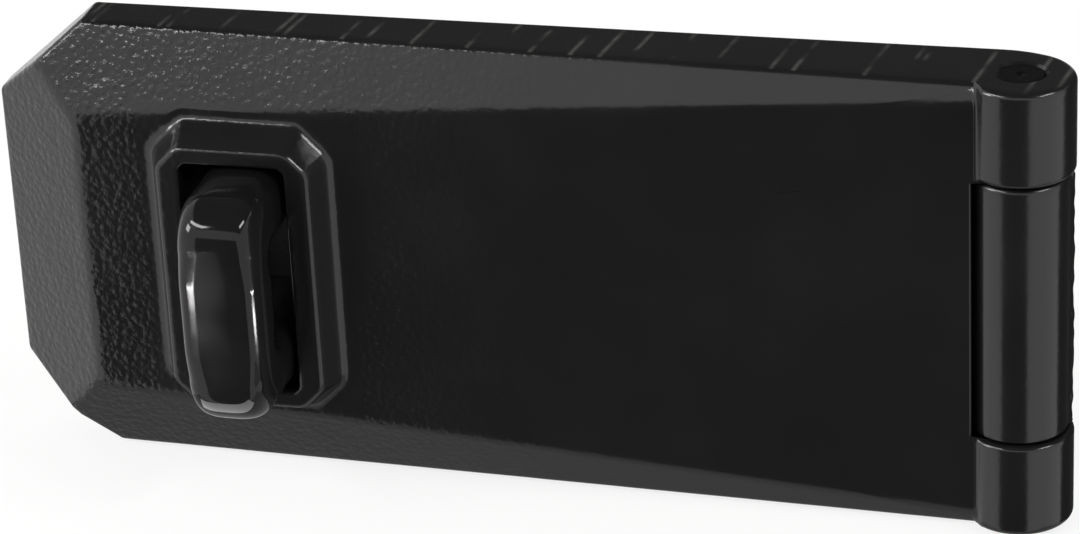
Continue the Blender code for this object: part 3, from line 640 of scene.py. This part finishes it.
def castPlate():
    # a profile carried round the slot: out of the slot, over the boss and the face, down the outer wall,
    # back along the rim, up the pocket and along its roof to the slot again
    notchX = axisX - math.sqrt(
        cover["notchRadius"] ** 2 - (cover["fieldDepth"] - cover["notchEdge"] - axisDepth) ** 2)
    left, right, tip = coverLow[0], axisX - cover["shortOfAxis"], cover["tip"]
    cutX, cutZ = left + cover["cutLength"], halfWidth - cover["cutWidth"]
    outline = np.array([
        (right, tip - halfWidth), (right, halfWidth - tip), (right - tip, halfWidth), (cutX, halfWidth),
        (left, cutZ), (left, -cutZ), (cutX, -halfWidth), (right - tip, -halfWidth)])
    bossCorners = octagon(bossX, boss["length"] / 2, boss["width"] / 2, boss["cut"])
    slotCorners = octagon(bossX, boss["slotWidth"] / 2, boss["slotLength"] / 2, boss["slotCut"])
    square, upright = [cover["squareEdge"]], [cover["uprightEdge"]]
    uprights = np.array(square * 3 + upright * 4 + square)
    split = cover["notchHalf"]
    rows, frontRows = [], []

    def put(loop, depth, front=False):
        frontRows.append(np.full(len(loop), front))
        rows.append(np.stack([loop[:, 0], -depth * np.ones(len(loop)), loop[:, 1]], axis=1))

    def faceAt(loop, inset):
        return coverFront(loop[:, 0], loop[:, 1], inset)

    def slotLoop(outset):
        return eightSided(offsetCorners(slotCorners, -outset), boss["slotCorner"] + outset)

    def bossLoop(inset):
        corner = max(boss["corner"] - inset * boss["cornerTaper"], boss["leastCorner"])
        return eightSided(offsetCorners(bossCorners, inset), corner)

    def outerLoop(inset):
        corners, radii = offsetCorners(outline, inset), np.maximum(uprights - inset, cover["leastEdge"])
        return eightSided(corners, radii, split, right - notchX)

    # the slot's wall and its rounded mouth
    roofDepth = cover["fieldDepth"] - cover["roof"]
    for depth in np.linspace(roofDepth, bossDepth - boss["slotEdge"], ringCounts["slot"]):
        put(slotLoop(0.0), depth)
    for turn in np.linspace(0, math.pi / 2, ringCounts["mouth"])[1:]:
        put(slotLoop(boss["slotEdge"] * (1 - math.cos(turn))),
            bossDepth - boss["slotEdge"] * (1 - math.sin(turn)), True)
    # the boss's flat top, rim, leaning wall and foot
    top, inner = bossLoop(boss["draft"] + boss["rim"]), slotLoop(boss["slotEdge"])
    for share in steps(ringCounts["top"]):
        put(inner + (top - inner) * share, bossDepth, True)
    foot = bossLoop(-boss["footOut"])
    footDepth = faceAt(foot, 0.0)
    lean = math.atan2(boss["draft"], bossDepth - cover["fieldDepth"])
    for turn in np.linspace(0, math.pi / 2 - lean, ringCounts["rim"])[1:]:
        rimInset = boss["draft"] + boss["rim"] - boss["rim"] * math.sin(turn)
        rimDepth = bossDepth - boss["rim"] * (1 - math.cos(turn))
        put(bossLoop(rimInset), rimDepth, True)
    for share in steps(ringCounts["lean"]):
        inset = rimInset + (boss["footIn"] - rimInset) * share
        put(bossLoop(inset), rimDepth + (footDepth + boss["footRise"] - rimDepth) * share, True)
    for share in steps(ringCounts["foot"]):
        inset = boss["footIn"] - (boss["footIn"] + boss["footOut"]) * heldBack(share, boss["footSpread"])
        put(bossLoop(inset), footDepth + boss["footRise"] * (1 - share) ** 2, True)
    # the face, as far as the start of its rounded edge
    bare, inside = outerLoop(0.0), outerLoop(1.0)
    index = np.arange(len(bare))
    beside = sideCounts["end"] // 4
    atRight = index < sideCounts["end"]
    inNotch = (index >= beside) & (index < sideCounts["end"] - beside)
    edge = np.where(atRight, cover["notchEdge"], cover["edge"])
    frontAtEdge = faceAt(bare, 0.0)
    slope = faceAt(inside, 0.0) - frontAtEdge
    inward = inside - bare
    tilt = np.where(atRight, 0.0, np.arctan(slope))
    middle = frontAtEdge + edge * np.tan(tilt) - edge / np.cos(tilt)
    rim = bare + inward * (edge * (1 - np.sin(tilt)))[:, None]
    for share in steps(ringCounts["face"]):
        loop = foot + (rim - foot) * heldBack(share, cover["faceSpread"])
        put(loop, faceAt(loop, 0.0), True)
    # the rounded edge
    for share in steps(ringCounts["edge"]):
        turn = tilt + (math.pi / 2 - tilt) * share
        put(bare + inward * (edge * (1 - np.sin(turn)))[:, None], middle + edge * np.cos(turn), True)
    # the outer wall, which follows the knuckle's room on the right
    bottom = np.where(inNotch, roofDepth, backDepth)
    wallEnd = bottom + np.where(inNotch, 0.0, cover["rimEdge"])
    for share in steps(ringCounts["wall"]):
        depth = middle + (wallEnd - middle) * share
        loop = bare.copy()
        room = np.sqrt(cover["notchRadius"] ** 2 - np.maximum(depth - axisDepth, 0.0) ** 2)
        loop[:, 0] = np.where(inNotch, axisX - room, loop[:, 0])
        put(loop, depth)
    wallFoot = loop
    put(wallFoot + inward * cover["rimEdge"] * np.where(atRight, 0.0, 1.0)[:, None], bottom)
    # the rim and the pocket's wall
    pocket = offsetCorners(outline, cover["wall"])
    atHinge = [0, 1, 2, 7]
    pocket[atHinge, 0] += axisX - cover["notchRadius"] - cover["web"] - pocket[0][0]
    pocketRadii = np.full(len(pocket), cover["pocketCorner"])
    pocketRadii[atHinge] = cover["pocketSquare"]

    def pocketLoop(inset):
        return eightSided(offsetCorners(pocket, inset), pocketRadii, split)

    mouth = pocketLoop(0.0)
    put(wallFoot + (mouth - wallFoot) * 0.5, bottom)
    put(mouth, bottom)
    above = faceAt(mouth, cover["roof"])
    ease = cover["pocketRound"]
    for share in steps(ringCounts["pocket"]):
        put(mouth, bottom + (np.maximum(above - ease, bottom) - bottom) * share)
    for turn in np.linspace(0, math.pi / 2, ringCounts["pocketRound"])[1:]:
        loop = pocketLoop(ease * (1 - math.cos(turn)))
        roof = faceAt(loop, cover["roof"])
        put(loop, np.where(inNotch, roof, roof - ease * (1 - math.sin(turn))))
    start, slot = loop, slotLoop(0.0)
    for share in steps(ringCounts["roof"])[:-1]:
        loop = start + (slot - start) * share
        put(loop, faceAt(loop, cover["roof"]))
    points, front = np.concatenate(rows), np.concatenate(frontRows)
    # the cast face waves inwards only
    ripple = castRipple(points, cover["waveSeed"], cover["waveLength"], cover["waviness"])
    points[:, 1] += np.where(front, np.maximum(ripple + 2 * cover["waviness"], 0.0) * 0.5, 0.0)
    return points, gridFaces(len(rows), len(rows[0]), wrapRows=True)


knuckle = {
    "rootFillet": 0.8,
    "endRound": 1.3,        # rounding of the cover's two outer ends
    "innerRound": 0.9,      # and of their inner ends
    "bore": 3.9,
    "mouth": 0.4,           # chamfer of the bore
    "rootReach": 3.0,       # how far the root runs into the plate, past the notch
    "rimRound": 0.35,       # the back of the outer end, which runs on from the plate's rim
    "squareRound": 0.1,     # of the inner ends inside the plate
    "tuck": (2.0, 1.5),     # where the root ends: left of the fillet, and below the face
    "blend": (-0.8, 1.4),   # beside the fillet's start, between which the root turns into the barrel
    "endRings": (0.0, 0.35, 0.7),
    "roundRings": 7,
    "boreRings": 5,
    "rings": 28,
    "counts": (40, 16, 12, 8, 9, 110),      # points along the back, the root's three sides, fillet and barrel
}


def line(start, end, count):
    return np.array(start) + (np.array(end) - np.array(start)) * np.linspace(0, 1, count)[:-1, None]


def arc(middle, radius, start, end, count):
    turn = np.linspace(start, end, count)
    return np.stack([middle[0] + radius * np.cos(turn), middle[1] + radius * np.sin(turn)], axis=1)


def eased(value, low, high):
    share = np.clip((value - low) / (high - low), 0.0, 1.0)
    return share * share * (3 - 2 * share)


def alongPin(outline, ends, rings, place):
    # an outline round the pin's bore, in planes square to the pin. Each end has a height and, for every point
    # of the outline, a radius of rounding by which the point draws in towards the pin
    around = np.arctan2(outline[:, 1], outline[:, 0])
    bore = knuckle["bore"] * np.stack([np.cos(around), np.sin(around)], axis=1)
    length = np.linalg.norm(outline, axis=1)
    (lowZ, lowRound), (highZ, highRound) = ends
    rows = []
    for z, radius, direction in ((lowZ, lowRound, 1), (highZ, highRound, -1)):
        edge = outline * (1 - radius / length)[:, None]
        mouth = bore * (1 + knuckle["mouth"] / knuckle["bore"])
        ring = [place(bore, np.full(len(outline), z + direction * knuckle["mouth"]))]
        for share in knuckle["endRings"]:
            ring.append(place(mouth + (edge - mouth) * share, np.full(len(outline), z)))
        for turn in np.linspace(0, math.pi / 2, knuckle["roundRings"]):
            inset, rise = radius * (1 - math.sin(turn)), direction * radius * (1 - math.cos(turn))
            ring.append(place(outline * (1 - inset / length)[:, None], z + rise))
        rows += ring if direction > 0 else ring[::-1]
        if direction > 0:
            for share in steps(rings)[:-1]:
                low, high = lowZ + lowRound, highZ - highRound
                rows.append(place(outline, low + (high - low) * share))
    for share in steps(knuckle["boreRings"])[:-1]:
        rows.append(place(bore, np.full(len(outline), highZ + (lowZ - highZ) * share)))
    return np.concatenate(rows), gridFaces(len(rows), len(outline), wrapRows=True)


def castKnuckle(side):
    # the outline: flat back, root inside the plate, fillet on the field, barrel
    rise = cover["fieldDepth"] - axisDepth - cover["sink"]
    filletHeight = rise + knuckle["rootFillet"]
    filletX = -math.sqrt((barrelRadius + knuckle["rootFillet"]) ** 2 - filletHeight ** 2)
    touch = math.atan2(filletHeight, -filletX)
    rootX = -cover["notchRadius"] - knuckle["rootReach"]
    flat = axisDepth - backDepth - cover["sink"]
    low = (filletX - knuckle["tuck"][0], -(rise - knuckle["tuck"][1]))
    blendFrom, blendTo = (filletX + shift for shift in knuckle["blend"])
    alongBack, atRoot, underFace, toFillet, onFillet, aroundBarrel = knuckle["counts"]
    outline = np.concatenate([
        line((0.0, flat), (rootX, flat), alongBack), line((rootX, flat), (rootX, low[1]), atRoot),
        line((rootX, low[1]), low, underFace), line(low, (filletX, -rise), toFillet),
        arc((filletX, -filletHeight), knuckle["rootFillet"], math.pi / 2, touch, onFillet)[:-1],
        arc((0.0, 0.0), barrelRadius, math.pi + touch, 2.5 * math.pi, aroundBarrel)[:-1]])
    atBack = outline[:, 1] > 0
    onBarrel = eased(outline[:, 0], blendFrom, blendTo)
    plateEnd = -cover["shortOfAxis"]
    pastPlate = eased(outline[:, 0], plateEnd, -plateEnd)
    rim = knuckle["rimRound"] + (knuckle["endRound"] - knuckle["rimRound"]) * pastPlate
    outerRound = np.where(atBack, rim, knuckle["endRound"] * onBarrel)
    inPlate = atBack & (outline[:, 0] < plateEnd)
    innerRound = np.where(inPlate, knuckle["squareRound"], knuckle["innerRound"] * onBarrel)

    def place(loop, z):
        # left of the barrel the root keeps under the cast face and its rounded edge
        x = axisX + loop[:, 0]
        overEdge = np.maximum(z - (halfWidth - cover["edge"]), 0.0)
        drop = cover["edge"] - np.sqrt(cover["edge"] ** 2 - np.minimum(overEdge, cover["edge"]) ** 2)
        face = axisDepth - coverFront(x, z, cover["sink"]) + drop
        free = eased(loop[:, 0], blendFrom, blendTo)
        y = np.maximum(loop[:, 1], face + (loop[:, 1] - face) * free)
        return np.stack([x, y - axisDepth, side * z], axis=1)

    ends = ((cover["notchHalf"], innerRound), (halfWidth - cover["sink"], outerRound))
    return alongPin(outline, ends, knuckle["rings"], place)


enamel = enamelOnCasting()
coverPiece = addSurface("castCover", [castPlate(), castKnuckle(1), castKnuckle(-1)], enamel, "cover")
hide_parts("cover")
print("cover made")

stapleLow, stapleHigh = (np.array(corner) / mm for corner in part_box("staple"))
staple = {
    "thickness": 12.0,
    "bend": 7.0,
    "eyeCorner": 3.0,
    "legPower": 3.2,             # exponents of its section: 2 is an ellipse, more is squarer
    "bendPower": 3.3,
    "nosePower": 4.4,
    "foot": 4.8,                 # depth at which the legs stand on the plate
    "tenonInset": 2.0,
    "tenonEnd": -stapleHigh[1],
    "tenonEdge": 0.3,
    "tenonPower": 4.0,
    "squareRate": 2.2,           # the nose's power is reached at 1 / this of the way to its middle
    "legRings": 24,
    "bendRings": 33,
    "noseRings": 18,
    "around": 96,
}


def superellipse(halfU, halfW, power, count):
    # |u / halfU|^power + |w / halfW|^power = 1, for one power or for a column of them
    turn = np.linspace(0, 2 * math.pi, count, endpoint=False)
    cosine, sine = np.cos(turn), np.sin(turn)
    u = np.sign(cosine) * np.abs(cosine) ** (2 / power)
    w = np.sign(sine) * np.abs(sine) ** (2 / power)
    return u * halfU, w * halfW


def forgedStaple():
    # a section carried along the loop, between the outer line and the line of the eye
    nose, half = -stapleLow[1], stapleHigh[2]
    middleX, halfX = (stapleLow[0] + stapleHigh[0]) / 2, (stapleHigh[0] - stapleLow[0]) / 2
    thick, bend, eye = staple["thickness"], staple["bend"], staple["eyeCorner"]

    def halfLoop(corner, reach, side):
        # leg, corner and half of the nose: depth, height and the section's power
        legPower, bendPower, nosePower = staple["legPower"], staple["bendPower"], staple["nosePower"]
        turn = np.linspace(0, math.pi / 2, staple["bendRings"])
        leg = np.linspace(staple["foot"], corner[0] - reach, staple["legRings"])[:-1]
        bendDepth = corner[0] - reach + reach * np.sin(turn)
        bendHeight = corner[1] - reach + reach * np.cos(turn)
        across = np.linspace(corner[1] - reach, 0, staple["noseRings"])[1:]
        depth = np.concatenate([leg, bendDepth, np.full(len(across), corner[0])])
        height = np.concatenate([np.full(len(leg), corner[1]), bendHeight, across])
        squarer = np.clip(np.linspace(0, staple["squareRate"], len(across)), 0, 1)
        power = np.concatenate([
            np.linspace(legPower, bendPower, len(leg)), np.full(len(turn), bendPower),
            bendPower + (nosePower - bendPower) * squarer])
        return np.stack([depth, height * side, power], axis=1)

    def wholeLoop(corner, reach):
        upper, lower = halfLoop(corner, reach, 1), halfLoop(corner, reach, -1)
        return np.concatenate([upper, lower[::-1][1:]])

    outer, inner = wholeLoop((nose, half), bend), wholeLoop((nose - thick, half - thick), eye)
    u, w = superellipse(1.0, halfX, outer[:, 2:], staple["around"])
    middle, reach = (outer + inner) / 2, (outer - inner) / 2
    flat = middle[:, None, :2] + reach[:, None, :2] * u[:, :, None]
    loop = np.stack([middleX + w, -flat[:, :, 0], flat[:, :, 1]], axis=2)
    # the tenons, from their flat ends up to the legs
    inset, edge, end = staple["tenonInset"], staple["tenonEdge"], staple["tenonEnd"]
    halfU, halfW = thick / 2 - inset, halfX - inset
    profile = ((halfU, end), (2 * edge, end), (edge, end), (0.0, end + edge), (0.0, staple["foot"]))
    tenons = []
    for side in (1, -1):
        legMiddle = side * (half - thick / 2)
        rings = []
        for shrink, depth in profile:
            tenonU, tenonW = superellipse(
                halfU - shrink, halfW * (1 - shrink / halfU), staple["tenonPower"], staple["around"])
            rings.append(np.stack(
                [middleX + tenonW, np.full(len(tenonU), -depth), legMiddle + side * tenonU], axis=1))
        tenons.append(np.stack(rings))
    points = np.concatenate([tenons[0], loop, tenons[1][::-1]])
    return points.reshape(-1, 3), gridFaces(len(points), staple["around"])


nickel = plainFinish("lacquered black nickel on forged steel", nickelFinish)
stapleSurface = addSurface("forgedStaple", [forgedStaple()], nickel, "fixed_plates")
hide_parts("staple")
onlyStaple = bpy.data.collections.new("onlyStaple")
onlyStaple.objects.link(stapleSurface)
for glint in studio["glints"]:
    addLamp(*glint).light_linking.receiver_collection = onlyStaple
print("staple made")

pin = {
    "radius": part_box("hinge_pin")[1][0] / mm - axisX,
    "half": halfWidth - 0.3,     # riveted down a little below the knuckle's end
    "head": knuckle["bore"] - 0.04,
    "headDepth": 1.0,
    "shoulder": 0.4,             # from the head down to the bar
    "edge": 0.3,
    "dimple": 0.9,               # radius of the centre mark
    "dimpleDepth": 0.6,          # as a share of that radius
    "dimplePower": 1.3,
    "lip": 0.25,
    "flat": 0.6,                 # the last ring on the flat lies this far inside the rounded edge
    "edgeRings": 7,
    "dimpleRings": 5,
    "around": 96,
}


def turnedPin():
    # a profile of radius and height turned about the hinge's axis
    edge, dimple, head, top = pin["edge"], pin["dimple"], pin["head"], pin["half"]
    turn = np.linspace(0, math.pi / 2, pin["edgeRings"])
    cone = np.linspace(0, 1, pin["dimpleRings"])
    radius = np.concatenate([dimple * cone, [dimple + pin["lip"], head - edge - pin["flat"]],
                             head - edge + edge * np.sin(turn), [head, pin["radius"]]])
    sunk = dimple * pin["dimpleDepth"] * (1 - cone) ** pin["dimplePower"]
    headEnd = top - pin["headDepth"]
    height = np.concatenate([top - sunk, [top, top], top - edge + edge * np.cos(turn),
                             [headEnd, headEnd - pin["shoulder"]]])
    radius, height = np.concatenate([radius, radius[::-1]]), np.concatenate([height, -height[::-1]])
    around = np.linspace(0, 2 * math.pi, pin["around"], endpoint=False)
    points = np.stack([
        axisX + radius[:, None] * np.cos(around), -axisDepth + radius[:, None] * np.sin(around),
        np.broadcast_to(height[:, None], (len(height), len(around)))], axis=2)
    return points.reshape(-1, 3), gridFaces(len(radius), len(around))


blackenedBar = plainFinish("blackened steel bar", pinFinish)
pinSurface = addSurface("turnedPin", [turnedPin()], blackenedBar, "cover")
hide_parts("hinge_pin")
print("pin made")

plateEnamel = plainFinish("black enamel on rolled plate", plateFinish)
fixedKnuckle = {
    "topGap": 0.42,
    "lowGap": 0.34,
    "castRadius": barrelRadius - 0.05,   # the back of the knuckle is left as cast
    "turnedFrom": 12.0,                  # degrees behind the axis, where the smooth round begins
    "stepOver": 9.0,                     # degrees, the shoulder between the cast back and the round
    "wallReach": 5.6,                    # its foot at the wall, past the axis, inside the open cover's notch
    "neck": 4.46,                        # thickness of the neck under it
    "neckReach": 12.4,
    "backGap": 0.04,
    "topRound": 1.1,
    "lowRound": 0.35,
    "blend": (-0.5, 1.5),                # beside the barrel's left, where the neck turns into the round
    "margin": 0.1,                       # how far past a corner its rounding still counts
    "roughness": 0.11,
    "roughLength": 3.2,
    "roughSeed": 11,
    "roughLift": 0.2,                    # mean depth of the roughness, and the most that it may have
    "roughMost": 0.6,
    "smoothEnds": 0.05,                  # mm that stay smooth at each end
    "rings": 110,
    "counts": (12, 6, 8, 90, 20, 8, 8),  # points along the neck's three sides, the round, the cast back, the
                                         # side of the foot and its underside
    "shoulderPoints": 8,
}
plates = {
    "sharpAngle": 30.0,      # degrees
    "merge": 0.004,          # mm
    "flat": 0.5,             # degrees, below which two triangles are one face
    "skinEnd": 12.0,         # mm before the axis, where the middle knuckle's own surface takes over
}


def castMiddle():
    # the outline of neck and knuckle, carried along the pin; the right side behind the axis is rough. A low
    # shoulder leads from the smooth round to the cast back
    neckLow, neckHigh = axisDepth - fixedKnuckle["backGap"], axisDepth - fixedKnuckle["neck"]
    reach, foot = -fixedKnuckle["neckReach"], fixedKnuckle["wallReach"]
    castRadius = fixedKnuckle["castRadius"]
    footTurn = math.acos(foot / castRadius)
    turnedFrom = math.radians(fixedKnuckle["turnedFrom"])
    stepTo = turnedFrom - math.radians(fixedKnuckle["stepOver"])
    touch = math.asin(neckHigh / fixedRadius)
    step = np.linspace(0, 1, fixedKnuckle["shoulderPoints"])[:-1]
    radius = castRadius + (fixedRadius - castRadius) * step * step * (3 - 2 * step)
    turn = turnedFrom + (stepTo - turnedFrom) * step
    shoulder = np.stack([radius * np.cos(turn), radius * np.sin(turn)], axis=1)
    corner = (castRadius * math.cos(footTurn), castRadius * math.sin(footTurn))
    underNeck, neckEnd, overNeck, onSmooth, onCast, footSide, underFoot = fixedKnuckle["counts"]
    # the shoulder is drawn from its cast side, so it is taken backwards
    outline = np.concatenate([
        line((0.0, neckLow), (reach, neckLow), underNeck), line((reach, neckLow), (reach, neckHigh), neckEnd),
        line((reach, neckHigh), (-fixedRadius * math.cos(touch), neckHigh), overNeck),
        arc((0.0, 0.0), fixedRadius, math.pi - touch, 2 * math.pi + stepTo, onSmooth)[:-1], shoulder[::-1],
        arc((0.0, 0.0), castRadius, turnedFrom, footTurn, onCast)[:-1],
        line(corner, (foot, neckLow), footSide), line((foot, neckLow), (0.0, neckLow), underFoot)])
    blendFrom, blendTo = (-fixedRadius + shift for shift in fixedKnuckle["blend"])
    margin = fixedKnuckle["margin"]
    onRound = eased(outline[:, 0], blendFrom, blendTo) * (outline[:, 1] < neckHigh + margin)
    onRound = np.where((outline[:, 0] > 0) & (outline[:, 1] < corner[1] + margin), 1.0, onRound)
    low, high = fixedKnuckle["lowGap"] - cover["notchHalf"], cover["notchHalf"] - fixedKnuckle["topGap"]
    ends = ((low, fixedKnuckle["lowRound"] * onRound), (high, fixedKnuckle["topRound"] * onRound))

    def place(loop, z):
        return np.stack([axisX + loop[:, 0], loop[:, 1] - axisDepth, z], axis=1)

    points, faces = alongPin(outline, ends, fixedKnuckle["rings"], place)
    # the cast back's roughness only goes inwards, and leaves the ends flat
    offset = points[:, [0, 1]] - [axisX, -axisDepth]
    away = np.linalg.norm(offset, axis=1)
    fromEnds = np.minimum(points[:, 2] - low, high - points[:, 2])
    rough = eased(away, fixedRadius + margin, castRadius) * (offset[:, 0] > 0)
    rough = rough * (fromEnds > fixedKnuckle["smoothEnds"])
    bump = castRipple(points, fixedKnuckle["roughSeed"], fixedKnuckle["roughLength"],
                      fixedKnuckle["roughness"])
    cut = rough * np.clip(bump + fixedKnuckle["roughLift"], 0.0, fixedKnuckle["roughMost"])
    points[:, [0, 1]] -= offset / away[:, None] * cut[:, None]
    return points, faces


def smoothCopy(name, body, material, endX=None):
    # the CAD node's triangles merged into one skin, shaded smooth up to its sharp edges; with an end, the
    # copy stops there
    source = frame["nodes"][name]
    mesh = source.data.copy()
    mesh.transform(source.matrix_world)
    skin = cleanSkin(mesh, plates["merge"])
    bmesh.ops.dissolve_limit(skin, angle_limit=math.radians(plates["flat"]), verts=skin.verts[:],
                             edges=skin.edges[:])
    if endX is not None:
        cut = bmesh.ops.bisect_plane(skin, geom=skin.verts[:] + skin.edges[:] + skin.faces[:],
                                     plane_co=(endX * mm, 0, 0), plane_no=(1, 0, 0), clear_outer=True)
        rim = [item for item in cut["geom_cut"] if isinstance(item, bmesh.types.BMEdge)]
        bmesh.ops.edgeloop_fill(skin, edges=rim)
    piece = addPiece(name + "Skin", mesh, skin, plates["sharpAngle"], material)
    weighted = piece.modifiers.new("faceWeights", "WEIGHTED_NORMAL")
    weighted.keep_sharp = True
    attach(piece, body)
    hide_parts(name)


smoothCopy("hinge_plate", "fixed_plates", plateEnamel, axisX - plates["skinEnd"])
addSurface("middleKnuckle", [castMiddle()], enamel, "fixed_plates")
smoothCopy("staple_plate", "fixed_plates", plateEnamel)
print("plates made")
